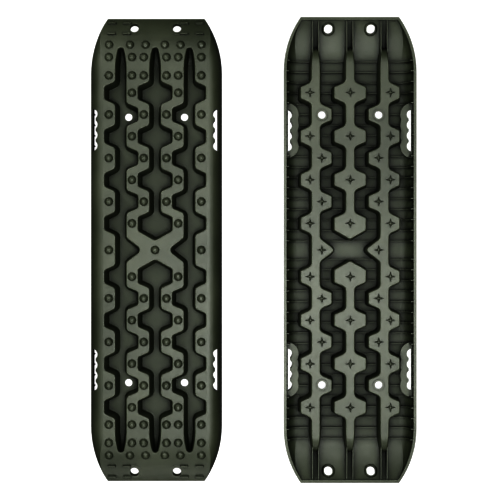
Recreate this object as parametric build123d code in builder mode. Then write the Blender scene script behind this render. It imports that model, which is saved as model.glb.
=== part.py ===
from build123d import *
from math import asin, cos, degrees, radians, sin, sqrt, tan
import os

# A pair of one-piece moulded traction boards for a wheel stuck in snow, mud or sand.
# One lies tread side up, the other beside it is turned over with its channel bottoms up.
# A board's own frame: X across, Y along, Z up, origin at its middle, channel studs at z = 0.

# Overall size of one board
LENGTH = 1070
WIDTH = 304
WALL = 3.5
LAND_Z = 53
STUD_RISE = 7
CLEAT_RISE = 3
BOARD_SPACING = 447

# Plan outline: straight sides, then an arc to the corner of the end edge
SIDE_END_Y = 410
PLAN_RADIUS = 225

# Cross-section: flat lands, round shoulders, steep skirts
SHOULDER_X = 119
SHOULDER_RADIUS = 31
SHOULDER_TURN = 68

# Long section: the ends dip in an arc and the rim rises a little
NOSE_Y = 430
NOSE_RADIUS = 183
RIM_LIFT_Y = 380
RIM_Z = 7
END_RIM_Z = 15
RIM_WIDTH = 6.5
RIM_HEIGHT = 5

# Channel lattice, on rows along Y
ROW_0 = 61
ROW_PITCH = 49.9
ROW_COUNT = 7
NOTCH_HALF = 14.5
NECK_HALF = 26
CENTRE_NECK_X = 12.5
CENTRE_LOBE_X = 39
INNER_NOTCH_X = 39.5
INNER_NECK_X = 66.5
OUTER_NECK_X = 91
OUTER_NOTCH_X = 116
MIDDLE_NOTCH_X = 30
MIDDLE_NOTCH_Y = 28
CENTRE_START_Y = 22
CENTRE_SHOULDER_Y = 44
TAPER_Y = 414
TIP_Y = 481
NOTCH_RADIUS = 7
NECK_RADIUS = 10
TIP_RADIUS = 7

# Channel walls and floors
HOLLOW_DRAFT = 6.5
BLOCK_DRAFT = 4.5
BLOCK_INSET = 1.75
FLOOR_Z = CLEAT_RISE + WALL
RAMP_Y = 431
RAMP_RADIUS = 38
RAMP_TURN = 80
FLOOR_FILLET = 3
LAND_FILLET = 2.5

# Grip studs on the lands
STUD_RADIUS = 10
STUD_SIDE_TAPER = 36
STUD_TOP = 4.5
STUD_TOP_TAPER = 60
STUD_OUTER_X = 106
STUD_MIDDLE_X = 53
STUD_INNER_X = 26
END_STUD_ROWS = (400, 442)
NOSE_STUD_Y = 471
NOSE_STUD_XS = (106, 58, 22)

# Underside ribs
RIB_THICKNESS = 2.2
RIB_DEPTH = 8
RIB_START_Y = 21
RIB_PITCH = 24.4
RIB_COUNT = 18
KEEL_X = 7
KEEL_START_Y = 440
KEEL_START_Z = 12
KEEL_END_Y = 530
KEEL_END_Z = 17

# End bars, eyelets and pin holes
BAR_XS = (66, 101)
BAR_YS = (497, 523)
BAR_LENGTH = 19
BAR_WIDTH = 6
BAR_RISE = 4.5
BAR_TAPER = 8
BAR_FILLET = 0.8
EYELET_X = 49
EYELET_Y = 512
EYELET_LENGTH = 24
EYELET_WIDTH = 20
EYELET_RING = 1.5
EYELET_RING_RISE = 5
EYELET_RING_DRAFT = 35
PIN_HOLE_X = 65
PIN_HOLE_Y = 309
PIN_HOLE_DIAMETER = 18
PIN_RING_DIAMETER = 25.6
PIN_RING_RISE = 2

# Plus-shaped cleats on the channel bottoms
CLEAT_FOOT = (11.5, 2.6)
CLEAT_RIDGE = (9, 0.5)
CLEAT_OUTER_X = 92
CLEAT_INNER_X = 65

# Hand slots in the shoulders
SLOT_Y = 276
SLOT_INNER_X = 136.5
SLOT_OUTER_X = 142
SLOT_LIP_X = 144.5
SLOT_LIP_DEPTH = 10
FINGER_COUNT = 4
FINGER_PITCH = 24.25
FINGER_DEPTH = 4.5
GRIP_WIDTH = 15
GRIP_Z = 28

AXIS_X = (INNER_NECK_X + OUTER_NECK_X) / 2
SKIRT_BOTTOM = -5
CLEAR = 5

os.makedirs("parts", exist_ok=True)


def row(number):
    """Y of a lattice row."""
    return ROW_0 + number * ROW_PITCH


def nose_point(x, y):
    """Place on the upper skin at (x, y), tilted with the skin."""
    over = max(y - NOSE_Y, 0)
    drop = NOSE_RADIUS - sqrt(NOSE_RADIUS**2 - over**2)
    return Location((x, y, LAND_Z - drop), (-degrees(asin(over / NOSE_RADIUS)), 0, 0))


def plan_outline(inset):
    """Quarter of the plan outline, drawn in by inset."""
    side_x = WIDTH / 2 - inset
    end_y = LENGTH / 2 - inset
    radius = PLAN_RADIUS - inset
    end_x = side_x - radius + sqrt(radius**2 - (end_y - SIDE_END_Y) ** 2)
    with BuildSketch() as sketch:
        with BuildLine():
            Polyline((0, end_y), (0, 0), (side_x, 0), (side_x, SIDE_END_Y))
            TangentArc((side_x, SIDE_END_Y), (end_x, end_y), tangent=(0, 1))
            Line((end_x, end_y), (0, end_y))
        make_face()
    return sketch.sketch


def pillow(inset):
    """Quarter of the solid body, drawn in by inset from its sides, ends and top."""
    top = LAND_Z - inset
    turn = radians(SHOULDER_TURN)
    shoulder = SHOULDER_RADIUS - inset
    knee = (SHOULDER_X + shoulder * sin(turn), top - shoulder * (1 - cos(turn)))
    foot_x = WIDTH / 2 - inset
    arc_x = WIDTH / 2 - PLAN_RADIUS
    nose = NOSE_RADIUS - inset
    end_y = LENGTH / 2 - inset
    end_z = top - nose + sqrt(nose**2 - (end_y - NOSE_Y) ** 2)
    with BuildPart() as solid:
        with BuildSketch(Plane.XZ.offset(-SIDE_END_Y)) as section:
            with BuildLine():
                Line((arc_x, top), (SHOULDER_X, top))
                TangentArc((SHOULDER_X, top), knee, tangent=(1, 0))
                Polyline(knee, (foot_x, RIM_Z), (foot_x, SKIRT_BOTTOM), (arc_x, SKIRT_BOTTOM), (arc_x, top))
            make_face()
        extrude(amount=SIDE_END_Y)
        revolve(section.sketch, axis=Axis((arc_x, SIDE_END_Y, 0), (0, 0, 1)), revolution_arc=90)
        with BuildSketch(Plane.YZ):
            with BuildLine():
                Line((0, top), (NOSE_Y, top))
                TangentArc((NOSE_Y, top), (end_y, end_z), tangent=(1, 0))
                Polyline((end_y, end_z), (end_y, SKIRT_BOTTOM), (0, SKIRT_BOTTOM), (0, top))
            make_face()
        extrude(amount=WIDTH, mode=Mode.INTERSECT)
    return solid.part


def under_rim(lift):
    """Everything below the rim line, or below a line that is lift higher."""
    low = RIM_Z + lift
    tip = (LENGTH / 2 + CLEAR, END_RIM_Z + lift)
    with BuildPart() as solid:
        with BuildSketch(Plane.YZ.offset(-CLEAR)):
            with BuildLine():
                Line((-CLEAR, low), (RIM_LIFT_Y, low))
                TangentArc((RIM_LIFT_Y, low), tip, tangent=(1, 0))
                Polyline(tip, (tip[0], -CLEAR * 2), (-CLEAR, -CLEAR * 2), (-CLEAR, low))
            make_face()
        extrude(amount=WIDTH)
    return solid.part


def over_floor(floor):
    """Everything above a channel floor, which curves up at the nose."""
    radius = RAMP_RADIUS + CLEAT_RISE - floor
    turn = radians(RAMP_TURN)
    ramp_end = (RAMP_Y + radius * sin(turn), floor + radius * (1 - cos(turn)))
    top = LAND_Z + CLEAR
    with BuildPart() as solid:
        with BuildSketch(Plane.YZ):
            with BuildLine():
                Line((0, floor), (RAMP_Y, floor))
                TangentArc((RAMP_Y, floor), ramp_end, tangent=(1, 0))
                Polyline(ramp_end, (TIP_Y + CLEAR, top), (0, top), (0, floor))
            make_face()
        extrude(amount=WIDTH)
    return solid.part


def zigzag(first_row, neck_x, notch_x):
    """Corners of a channel side with a notch at every other row, and their radii."""
    points = []
    radii = []
    for number in range(first_row, ROW_COUNT, 2):
        y = row(number)
        points += [(neck_x, y - NECK_HALF), (notch_x, y - NOTCH_HALF)]
        points += [(notch_x, y + NOTCH_HALF), (neck_x, y + NECK_HALF)]
        radii += [NECK_RADIUS, NOTCH_RADIUS, NOTCH_RADIUS, NECK_RADIUS]
    return points, radii


def centre_outline():
    """Rim of the centre channel, from its blunt end near the middle to its tip."""
    side, radii = zigzag(0, CENTRE_NECK_X, CENTRE_LOBE_X)
    side[:2] = [(0, CENTRE_START_Y), (CENTRE_LOBE_X, CENTRE_SHOULDER_Y)]
    with BuildSketch() as sketch:
        with BuildLine():
            FilletPolyline(*side, (CENTRE_NECK_X, TAPER_Y), radius=radii[1:])
            TangentArc((CENTRE_NECK_X, TAPER_Y), (0, TIP_Y), tangent=(0, 1))
            Line((0, TIP_Y), (0, CENTRE_START_Y))
        make_face()
        mirror(about=Plane.YZ)
        fillet(sketch.vertices().sort_by(Axis.Y)[0], NECK_RADIUS)
        fillet(sketch.vertices().sort_by(Axis.Y)[-1], TIP_RADIUS)
    return sketch.sketch


def side_outline():
    """Rim of an outer channel, from tip to tip."""
    outer_side, outer_radii = zigzag(0, OUTER_NECK_X, OUTER_NOTCH_X)
    inner_side, inner_radii = zigzag(1, INNER_NECK_X, INNER_NOTCH_X)
    outer_side = [(OUTER_NECK_X, 0)] + outer_side + [(OUTER_NECK_X, TAPER_Y)]
    inner_side = [(MIDDLE_NOTCH_X, 0), (INNER_NECK_X, MIDDLE_NOTCH_Y)] + inner_side
    inner_side.append((INNER_NECK_X, TAPER_Y))
    with BuildSketch() as sketch:
        with BuildLine():
            FilletPolyline(*outer_side, radius=outer_radii)
            TangentArc((OUTER_NECK_X, TAPER_Y), (AXIS_X, TIP_Y), tangent=(0, 1))
            TangentArc((INNER_NECK_X, TAPER_Y), (AXIS_X, TIP_Y), tangent=(0, 1))
            FilletPolyline(*inner_side, radius=[NECK_RADIUS] + inner_radii)
            Line((MIDDLE_NOTCH_X, 0), (OUTER_NECK_X, 0))
        make_face()
        mirror(about=Plane.XZ)
        fillet(sketch.vertices().group_by(Axis.X)[0], NECK_RADIUS)
        fillet(sketch.vertices().group_by(Axis.Y)[0], TIP_RADIUS)
        fillet(sketch.vertices().group_by(Axis.Y)[-1], TIP_RADIUS)
    return sketch.sketch


def channel_solid(outline, floor, inset, draft):
    """Solid with a channel's outline, widening upward from its floor, its floor edge rounded."""
    with BuildPart() as solid:
        with BuildSketch(Plane.XY.offset(floor)):
            add(outline)
            offset(amount=-inset)
        extrude(amount=LAND_Z - floor, taper=-draft)
        add(over_floor(floor), mode=Mode.INTERSECT)
        floor_face = solid.faces().filter_by(Axis.Z).sort_by(Axis.Z)[0]
        rounded = [e for e in floor_face.edges() if 0.1 < e.center().Y < RAMP_Y - 0.1 and e.center().X > 0.1]
        fillet(rounded, FLOOR_FILLET)
    return solid.part


hollow_inset = (LAND_Z - FLOOR_Z) * tan(radians(HOLLOW_DRAFT))
blocks = []
hollows = []
for outline in (centre_outline(), side_outline()):
    blocks.append(channel_solid(outline, CLEAT_RISE, BLOCK_INSET, BLOCK_DRAFT))
    hollows.append(channel_solid(outline, FLOOR_Z, hollow_inset, HOLLOW_DRAFT))


def is_channel_rim(edge):
    """True for an edge between a land and a channel wall."""
    box = edge.bounding_box()
    inside = box.max.X > 0.01 and box.max.Y > 0.01 and box.min.X < OUTER_NOTCH_X + 1
    across_nose = box.min.Y > NOSE_Y - 0.01 and box.max.Y < NOSE_Y + 0.01
    return inside and not across_nose and box.min.Z > LAND_Z - 6


def edge_rim():
    """Quarter of the thick band round the board's lower edge."""
    with BuildPart() as rim:
        with BuildSketch(Plane.XY.offset(SKIRT_BOTTOM)):
            add(plan_outline(0))
            add(plan_outline(RIM_WIDTH), mode=Mode.SUBTRACT)
        extrude(amount=LAND_Z)
        add(outside, mode=Mode.INTERSECT)
        add(under_rim(RIM_HEIGHT), mode=Mode.INTERSECT)
    return rim.part


def cross_ribs():
    """Quarter set of low ribs under the skin, from the middle out and down the skirt to the rim."""
    places = [(WIDTH / 4, RIB_START_Y + number * RIB_PITCH) for number in range(RIB_COUNT)]
    with BuildPart() as ribs:
        with BuildSketch(Plane.XY.offset(SKIRT_BOTTOM)):
            with Locations(places):
                Rectangle(WIDTH / 2, RIB_THICKNESS)
        extrude(amount=LAND_Z)
        add(pillow(WALL / 2), mode=Mode.INTERSECT)
        add(pillow(WALL + RIB_DEPTH), mode=Mode.SUBTRACT)
        add(under_rim(RIM_HEIGHT / 2), mode=Mode.SUBTRACT)
    return ribs.part


def keels():
    """Pairs of thin ribs from each channel's tip to the end rim, tapering in depth."""
    with BuildPart() as fins:
        with BuildSketch(Plane.YZ):
            Polygon((KEEL_START_Y, LAND_Z), (KEEL_START_Y, KEEL_START_Z), (KEEL_END_Y, KEEL_END_Z),
                    (KEEL_END_Y, LAND_Z), align=None)
        extrude(amount=WIDTH)
        with BuildSketch(Plane.XY):
            for axis_x in (0, AXIS_X):
                for side in (-1, 1):
                    with Locations((axis_x + side * KEEL_X, (KEEL_START_Y + KEEL_END_Y) / 2)):
                        Rectangle(RIB_THICKNESS, KEEL_END_Y - KEEL_START_Y + 2)
        extrude(amount=LAND_Z, mode=Mode.INTERSECT)
        add(pillow(WALL / 2), mode=Mode.INTERSECT)
    return fins.part


def stud():
    """Grip stud: a steep round side and a low four-sided top, its foot sunk in the skin."""
    with BuildPart() as solid:
        with BuildSketch(Plane.XY.offset(-WALL / 2)):
            Circle(STUD_RADIUS)
        extrude(amount=WALL / 2)
        with BuildSketch():
            Circle(STUD_RADIUS)
        extrude(amount=STUD_RISE, taper=STUD_SIDE_TAPER)
        with BuildSketch(Plane.XY.offset(STUD_RISE)):
            Rectangle(STUD_TOP, STUD_TOP)
        extrude(amount=-STUD_RISE - WALL / 2, taper=-STUD_TOP_TAPER, mode=Mode.INTERSECT)
    return solid.part


def end_bar():
    """Low bar across the nose, its foot sunk in the skin."""
    with BuildPart() as solid:
        with BuildSketch(Plane.XY.offset(-WALL / 2)):
            Rectangle(BAR_LENGTH, BAR_WIDTH)
        extrude(amount=WALL / 2 + BAR_RISE, taper=BAR_TAPER)
        fillet(solid.edges().group_by(Axis.Z)[-1], BAR_FILLET)
    return solid.part


def star(tip, waist):
    """Four-pointed star, from its arms' reach and its inner corners."""
    with BuildSketch() as sketch:
        Polygon((tip, 0), (waist, waist), (0, tip), (-waist, waist),
                (-tip, 0), (-waist, -waist), (0, -tip), (waist, -waist), align=None)
    return sketch.sketch


def cleat():
    """Plus-shaped cleat, its four arms narrowing from a channel bottom down to ridges."""
    with BuildPart() as solid:
        with BuildSketch(Plane.XY.offset(CLEAT_RISE)):
            add(star(*CLEAT_FOOT))
        with BuildSketch():
            add(star(*CLEAT_RIDGE))
        loft()
        with BuildSketch(Plane.XY.offset(CLEAT_RISE)):
            add(star(*CLEAT_FOOT))
        extrude(amount=WALL / 2)
    return solid.part


def eyelet_prism(grow, draft):
    """Oblong prism through the skin for a lashing eyelet, grow wider all round at its bottom."""
    with BuildPart() as prism:
        with BuildSketch(Plane.XY.offset(-WALL - EYELET_RING_RISE)):
            SlotOverall(EYELET_LENGTH + 2 * grow, EYELET_WIDTH + 2 * grow, rotation=90)
        extrude(amount=WALL + EYELET_RING_RISE, taper=-draft)
    return prism.part


def finger_opening(grow):
    """Plan of a hand slot: straight outside, finger scallops inside, grow wider all round."""
    middle_x = (SLOT_INNER_X + SLOT_OUTER_X) / 2
    finger_x = SLOT_INNER_X - FINGER_DEPTH + FINGER_PITCH / 2
    length = FINGER_COUNT * FINGER_PITCH
    with BuildSketch() as sketch:
        with Locations((finger_x, SLOT_Y)):
            with GridLocations(0, FINGER_PITCH, 1, FINGER_COUNT):
                Circle(FINGER_PITCH / 2)
        with Locations((middle_x, SLOT_Y)):
            Rectangle(SLOT_OUTER_X - SLOT_INNER_X, length - FINGER_PITCH / 2)
        with Locations((SLOT_OUTER_X - WIDTH / 2, SLOT_Y)):
            Rectangle(WIDTH, length, mode=Mode.INTERSECT)
        if grow:
            offset(amount=grow)
    return sketch.sketch


def hand_grip():
    """Wall down from a hand slot to a broad scalloped flange that the fingers close on."""
    with BuildPart() as grip:
        with BuildSketch(Plane.XY.offset(GRIP_Z)):
            add(finger_opening(GRIP_WIDTH))
        extrude(amount=WALL)
        with BuildSketch(Plane.XY.offset(GRIP_Z)):
            add(finger_opening(WALL))
        extrude(amount=LAND_Z - GRIP_Z)
        add(pillow(WALL / 2), mode=Mode.INTERSECT)
    return grip.part


def slot_lip():
    """Wedge that slopes a hand slot's outer wall in, from the skin down to the flange."""
    with BuildPart() as wedge:
        with BuildSketch(Plane.XZ.offset(-SLOT_Y)):
            Polygon((SLOT_OUTER_X, GRIP_Z), (SLOT_LIP_X, LAND_Z - SLOT_LIP_DEPTH), (SLOT_LIP_X, LAND_Z),
                    (SLOT_OUTER_X, LAND_Z), align=None)
        extrude(amount=(FINGER_COUNT * FINGER_PITCH) / 2, both=True)
    return wedge.part


outside = pillow(0)
quarter_studs = [(STUD_OUTER_X, row(n)) for n in (1, 3, 5)]
quarter_studs += [(STUD_MIDDLE_X, row(n)) for n in (0, 2, 4, 6)]
quarter_studs += [(STUD_INNER_X, row(n)) for n in (1, 3, 5)]
for y in END_STUD_ROWS:
    quarter_studs += [(x, y) for x in (STUD_OUTER_X, STUD_MIDDLE_X, STUD_INNER_X)]
quarter_studs += [(x, NOSE_STUD_Y) for x in NOSE_STUD_XS]
quarter_cleats = [(CLEAT_OUTER_X, row(n)) for n in (0, 2, 4, 6)]
quarter_cleats += [(0, row(n)) for n in (0, 2, 4, 6)]
quarter_cleats += [(CLEAT_INNER_X, y) for y in (0, row(1), row(3))]

eyelet_place = nose_point(EYELET_X, EYELET_Y)
pin_place = (PIN_HOLE_X, PIN_HOLE_Y, CLEAT_RISE - PIN_RING_RISE)
up = (Align.CENTER, Align.CENTER, Align.MIN)

with BuildPart() as channel_walls:
    add(blocks)
    add(outside, mode=Mode.INTERSECT)

with BuildPart() as quarter:
    add(outside)
    add(pillow(WALL), mode=Mode.SUBTRACT)
    add([edge_rim(), cross_ribs(), hand_grip(), keels()])
    add(under_rim(0), mode=Mode.SUBTRACT)
    add(channel_walls.part)
    add(hollows, mode=Mode.SUBTRACT)
    channel_rims = []
    for face in quarter.faces():
        box = face.bounding_box()
        on_land = box.min.Z > LAND_Z - 0.01
        on_nose = abs(box.min.Y - NOSE_Y) < 0.1 and abs(box.max.Z - LAND_Z) < 0.1
        if on_land or (on_nose and face.geom_type == GeomType.CYLINDER):
            channel_rims += [edge for edge in face.edges() if is_channel_rim(edge)]
    fillet(channel_rims, LAND_FILLET)
    with BuildSketch():
        add(finger_opening(0))
    extrude(amount=LAND_Z, mode=Mode.SUBTRACT)
    add(slot_lip(), mode=Mode.SUBTRACT)
    with Locations(*[nose_point(x, y) for x, y in quarter_studs]):
        add(stud())
    with Locations(*[nose_point(x, y) for x in BAR_XS for y in BAR_YS]):
        add(end_bar())
    with Locations(*[(x, y, 0) for x, y in quarter_cleats]):
        add(cleat())
    with Locations(eyelet_place):
        add(eyelet_prism(EYELET_RING, EYELET_RING_DRAFT))
        add(eyelet_prism(0, 0), mode=Mode.SUBTRACT)
    with Locations(pin_place):
        Cylinder(PIN_RING_DIAMETER / 2, PIN_RING_RISE + WALL / 2, align=up)
        Cylinder(PIN_HOLE_DIAMETER / 2, WALL * 4, align=up, mode=Mode.SUBTRACT)
    Box(LENGTH, LENGTH, LENGTH, align=(Align.MIN, Align.MIN, Align.CENTER), mode=Mode.INTERSECT)

with BuildPart() as board:
    add(quarter.part)
    mirror(about=Plane.YZ)
    mirror(about=Plane.XZ)
    with Locations(*[nose_point(x, 0) for x in (-STUD_OUTER_X, 0, STUD_OUTER_X)]):
        add(stud())

with BuildPart() as tread_up_board:
    with Locations((-BOARD_SPACING / 2, 0, 0)):
        add(board.part)

with BuildPart() as cleat_up_board:
    with Locations(Location((BOARD_SPACING / 2, 0, LAND_Z + STUD_RISE), (0, 180, 0))):
        add(board.part)

tread_up_board.part.label = "tread_up_board"
cleat_up_board.part.label = "cleat_up_board"
export_step(tread_up_board.part, "parts/tread_up_board.step")
export_step(cleat_up_board.part, "parts/cleat_up_board.step")
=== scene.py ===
import bpy
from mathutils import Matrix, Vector


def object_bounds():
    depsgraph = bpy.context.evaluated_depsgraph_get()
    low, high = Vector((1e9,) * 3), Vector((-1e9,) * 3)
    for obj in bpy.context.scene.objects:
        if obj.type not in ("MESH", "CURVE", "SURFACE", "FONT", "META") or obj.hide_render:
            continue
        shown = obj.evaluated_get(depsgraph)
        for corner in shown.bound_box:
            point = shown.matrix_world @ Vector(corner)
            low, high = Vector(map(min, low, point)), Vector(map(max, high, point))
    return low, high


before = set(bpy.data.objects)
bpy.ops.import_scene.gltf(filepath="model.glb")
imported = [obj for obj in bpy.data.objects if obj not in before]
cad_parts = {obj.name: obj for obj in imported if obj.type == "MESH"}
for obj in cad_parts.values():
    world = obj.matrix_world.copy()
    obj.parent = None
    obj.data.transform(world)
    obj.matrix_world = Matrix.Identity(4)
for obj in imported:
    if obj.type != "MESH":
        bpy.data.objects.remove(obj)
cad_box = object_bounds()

# Camera: straight down over the middle of the pair
CAMERA_HEIGHT = 3.0
CAMERA_SHIFT = (-0.006, 0.0)
VIEW_WIDTH = 1.143
SENSOR_WIDTH = 36

# Light: a wide soft ceiling, a soft box over the middle, two low accents and a faint surround
NEUTRAL = (1.0, 1.0, 1.0)
LAMPS = {
    "ceiling": {"place": (0, 0, 3.4), "target": (0, 0, 0),
                "size": 6.0, "energy": 400, "colour": (0.99, 1.0, 0.99)},
    "soft_box": {"place": (0.16, -0.25, 2.2), "target": (0.16, -0.25, 0),
                 "size": 0.9, "energy": 60, "colour": (0.98, 0.99, 1.0)},
    "accent": {"place": (-1.5, 1.5, 1.5), "target": (0, 0, 0),
               "size": 0.3, "energy": 45, "colour": NEUTRAL},
    "front": {"place": (-0.3, -2.4, 1.0), "target": (-0.22, -0.5, 0.03),
              "size": 0.8, "energy": 25, "colour": NEUTRAL},
}
SURROUND = 0.03

# Stage: white to the camera only, with a faint contact shade
WHITE = (1, 1, 1, 1)
FLOOR_HALF = 6.0
FLOOR_COLOUR = (0.02, 0.02, 0.02, 1)
FLOOR_SHADE = 0.94
SHADE_REACH = 0.05
VIEW_GAMMA = 0.45

# Moulded plastic: satin where it is open, with a painted edge highlight; painted shade makes it darker in
# recesses and crevices, where it is also duller
OLIVE_RECESS_SHADE = (0.022, 0.030, 0.012, 1)
OLIVE_CREVICE_SHADE = (0.004, 0.006, 0.002, 1)
OLIVE_DARK = (0.0325, 0.038, 0.024, 1)
OLIVE = (0.048, 0.054, 0.036, 1)
# Painted edge highlight colour
OLIVE_EDGE_HIGHLIGHT = (0.17, 0.18, 0.15, 1)
OPEN_ROUGHNESS = 0.44
DEEP_ROUGHNESS = 0.66
RECESS_REACH = 0.06
CREVICE_REACH = 0.015
CREVICE_DEPTH = 0.85
OPEN_RANGE = (0.1, 0.8)
CREVICE_RANGE = (0.5, 0.92)
OCCLUSION_SAMPLES = 6

# Painted edge highlight: a lighter olive where the rounded normal leaves the true one, broken up by the scuff
# noise
EDGE_ROUND = 0.0012
EDGE_SAMPLES = 4
EDGE_RANGE = (0.995, 0.86)
EDGE_HIGHLIGHT_BREAKUP = (0.35, 0.9)

# Surface patterns: size and detail of each noise, and the part of its range that is used
CLOUD = (9.0, 3.0)
CLOUD_RANGE = (0.35, 0.65)
SCUFF = (140.0, 4.0)
SCUFF_RANGE = (0.45, 0.75)
SCUFF_ROUGHNESS = 0.05
GRAIN = (1400.0, 2.0)
GRAIN_RANGE = (0.3, 0.7)
GRAIN_ROUGHNESS = (-0.05, 0.05)
ORANGE_PEEL = (60.0, 2.0)
ORANGE_PEEL_HEIGHT = 1.5
BUMP_STRENGTH = 0.25
BUMP_DISTANCE = 0.0004
SPECULAR_LEVEL = 0.5


def link(obj):
    """Put an object in the scene."""
    bpy.context.scene.collection.objects.link(obj)
    return obj


def new_material(name):
    """Empty node material: its nodes, its links and its Principled shader."""
    material = bpy.data.materials.new(name)
    material.use_nodes = True
    nodes = material.node_tree.nodes
    return material, nodes, material.node_tree.links, nodes["Principled BSDF"]


def noise(nodes, links, coords, pattern):
    """Noise texture in the object's own metres, from a pattern's scale and detail."""
    scale, detail = pattern
    texture = nodes.new("ShaderNodeTexNoise")
    texture.inputs["Scale"].default_value = scale
    texture.inputs["Detail"].default_value = detail
    links.new(coords, texture.inputs["Vector"])
    return texture.outputs["Fac"]


def spread(nodes, links, source, low, high, new_low=0.0, new_high=1.0):
    """Stretch a value's range low..high to new_low..new_high."""
    node = nodes.new("ShaderNodeMapRange")
    for socket, value in zip(("From Min", "From Max", "To Min", "To Max"), (low, high, new_low, new_high)):
        node.inputs[socket].default_value = value
    links.new(source, node.inputs["Value"])
    return node.outputs["Result"]


def mix(nodes, links, factor, first, second):
    """Mix two colours, each a socket or an RGBA value."""
    node = nodes.new("ShaderNodeMix")
    node.data_type = "RGBA"
    links.new(factor, node.inputs["Factor"])
    for name, value in (("A", first), ("B", second)):
        socket = [s for s in node.inputs if s.name == name and s.type == "RGBA"][0]
        if isinstance(value, tuple):
            socket.default_value = value
        else:
            links.new(value, socket)
    return [s for s in node.outputs if s.type == "RGBA"][0]


def math_node(nodes, links, operation, first, second):
    """Arithmetic on two sockets or numbers."""
    node = nodes.new("ShaderNodeMath")
    node.operation = operation
    for socket, value in zip(node.inputs, (first, second)):
        if isinstance(value, (int, float)):
            socket.default_value = value
        else:
            links.new(value, socket)
    return node.outputs["Value"]


def open_share(nodes, reach):
    """How much of the sky over a point is free of the same board within reach, 0 to 1."""
    node = nodes.new("ShaderNodeAmbientOcclusion")
    node.samples = OCCLUSION_SAMPLES
    node.only_local = True
    node.inputs["Distance"].default_value = reach
    return node.outputs["AO"]


def rounded_edges(nodes, links):
    """Normal with softened edges, and how far it is on an edge, 0 to 1."""
    rounded = nodes.new("ShaderNodeBevel")
    rounded.samples = EDGE_SAMPLES
    rounded.inputs["Radius"].default_value = EDGE_ROUND
    geometry = nodes.new("ShaderNodeNewGeometry")
    agree = nodes.new("ShaderNodeVectorMath")
    agree.operation = "DOT_PRODUCT"
    links.new(rounded.outputs["Normal"], agree.inputs[0])
    links.new(geometry.outputs["Normal"], agree.inputs[1])
    return rounded.outputs["Normal"], spread(nodes, links, agree.outputs["Value"], *EDGE_RANGE)


def moulded_plastic():
    """Dark olive moulded plastic with a fine grain, soft edges, a painted highlight on its edges and painted
    shade in its recesses and crevices.
    """
    material, nodes, links, shader = new_material("moulded_plastic")
    coords = nodes.new("ShaderNodeTexCoord").outputs["Object"]
    normal, edge = rounded_edges(nodes, links)

    cloud = spread(nodes, links, noise(nodes, links, coords, CLOUD), *CLOUD_RANGE)
    scuff = spread(nodes, links, noise(nodes, links, coords, SCUFF), *SCUFF_RANGE)
    # Painted edge highlight: lighter olive on edges, broken up by the scuff noise
    painted_edge_highlight = math_node(nodes, links, "MULTIPLY", edge, spread(nodes, links, scuff, 0, 1, *EDGE_HIGHLIGHT_BREAKUP))
    # Painted shade: darker olive where the board's own walls block the sky over a point
    openness = spread(nodes, links, open_share(nodes, RECESS_REACH), *OPEN_RANGE)
    # Painted shade: near black in tight crevices, such as beside the ribs
    crevice_shade = spread(nodes, links, open_share(nodes, CREVICE_REACH), *CREVICE_RANGE, CREVICE_DEPTH, 0)
    colour = mix(nodes, links, cloud, OLIVE_DARK, OLIVE)
    # Painted highlight on edges, then painted shade in recesses and crevices
    colour = mix(nodes, links, painted_edge_highlight, colour, OLIVE_EDGE_HIGHLIGHT)
    colour = mix(nodes, links, openness, OLIVE_RECESS_SHADE, colour)
    colour = mix(nodes, links, crevice_shade, colour, OLIVE_CREVICE_SHADE)
    links.new(colour, shader.inputs["Base Color"])

    grain = noise(nodes, links, coords, GRAIN)
    rough = spread(nodes, links, openness, 0, 1, DEEP_ROUGHNESS, OPEN_ROUGHNESS)
    fine = spread(nodes, links, grain, *GRAIN_RANGE, *GRAIN_ROUGHNESS)
    rough = math_node(nodes, links, "ADD", rough, fine)
    rough = math_node(nodes, links, "ADD", rough, math_node(nodes, links, "MULTIPLY", scuff, SCUFF_ROUGHNESS))
    links.new(rough, shader.inputs["Roughness"])
    shader.inputs["Specular IOR Level"].default_value = SPECULAR_LEVEL

    peel = math_node(nodes, links, "MULTIPLY", noise(nodes, links, coords, ORANGE_PEEL), ORANGE_PEEL_HEIGHT)
    bump = nodes.new("ShaderNodeBump")
    bump.inputs["Strength"].default_value = BUMP_STRENGTH
    bump.inputs["Distance"].default_value = BUMP_DISTANCE
    links.new(math_node(nodes, links, "ADD", grain, peel), bump.inputs["Height"])
    links.new(normal, bump.inputs["Normal"])
    links.new(bump.outputs["Normal"], shader.inputs["Normal"])
    return material


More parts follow.
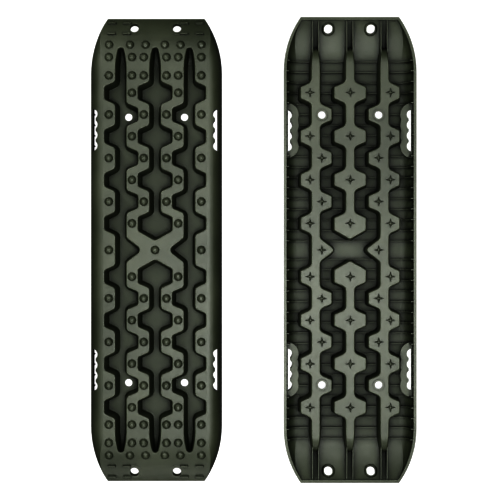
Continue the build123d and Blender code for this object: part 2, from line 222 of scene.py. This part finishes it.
def pale_floor():
    """White to the camera with a faint contact shade, dark to the boards, so that their walls stay deep."""
    material, nodes, links, shader = new_material("pale_floor")
    shader.inputs["Base Color"].default_value = FLOOR_COLOUR
    shader.inputs["Emission Color"].default_value = WHITE
    rays = nodes.new("ShaderNodeLightPath")
    nearby = nodes.new("ShaderNodeAmbientOcclusion")
    nearby.inputs["Distance"].default_value = SHADE_REACH
    shade = spread(nodes, links, nearby.outputs["AO"], 0, 1, FLOOR_SHADE, 1)
    strength = math_node(nodes, links, "MULTIPLY", rays.outputs["Is Camera Ray"], shade)
    links.new(strength, shader.inputs["Emission Strength"])
    return material


def add_floor():
    """Plain floor under the boards."""
    half = FLOOR_HALF
    corners = [(-half, -half, 0), (half, -half, 0), (half, half, 0), (-half, half, 0)]
    mesh = bpy.data.meshes.new("floor")
    mesh.from_pydata(corners, [], [(0, 1, 2, 3)])
    mesh.materials.append(pale_floor())
    link(bpy.data.objects.new("floor", mesh))


def add_light(name, spec):
    """Square lamp aimed at its target, hidden from the camera."""
    lamp = link(bpy.data.objects.new(name, bpy.data.lights.new(name, "AREA")))
    lamp.data.size = spec["size"]
    lamp.data.energy = spec["energy"]
    lamp.data.color = spec["colour"]
    lamp.location = Vector(spec["place"])
    lamp.rotation_euler = (Vector(spec["target"]) - lamp.location).to_track_quat("-Z", "Y").to_euler()
    lamp.visible_camera = False


def add_surround():
    """White backdrop to the camera, faint even light to the boards."""
    world = bpy.data.worlds.new("surround")
    world.use_nodes = True
    nodes, links = world.node_tree.nodes, world.node_tree.links
    background = nodes["Background"]
    background.inputs["Color"].default_value = WHITE
    rays = nodes.new("ShaderNodeLightPath")
    strength = spread(nodes, links, rays.outputs["Is Camera Ray"], 0, 1, SURROUND, 1)
    links.new(strength, background.inputs["Strength"])
    bpy.context.scene.world = world


def add_camera():
    """Camera straight above the pair."""
    low, high = cad_box
    centre = (low + high) / 2
    camera = link(bpy.data.objects.new("camera", bpy.data.cameras.new("camera")))
    camera.data.sensor_width = SENSOR_WIDTH
    camera.data.lens = SENSOR_WIDTH * (CAMERA_HEIGHT - high.z) / VIEW_WIDTH
    camera.location = (centre.x + CAMERA_SHIFT[0], centre.y + CAMERA_SHIFT[1], CAMERA_HEIGHT)
    bpy.context.scene.camera = camera


plastic = moulded_plastic()
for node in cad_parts.values():
    node.data.materials.clear()
    node.data.materials.append(plastic)

add_floor()
for name, spec in LAMPS.items():
    add_light(name, spec)
add_surround()
add_camera()
bpy.context.scene.view_settings.view_transform = "Standard"
bpy.context.scene.view_settings.gamma = VIEW_GAMMA
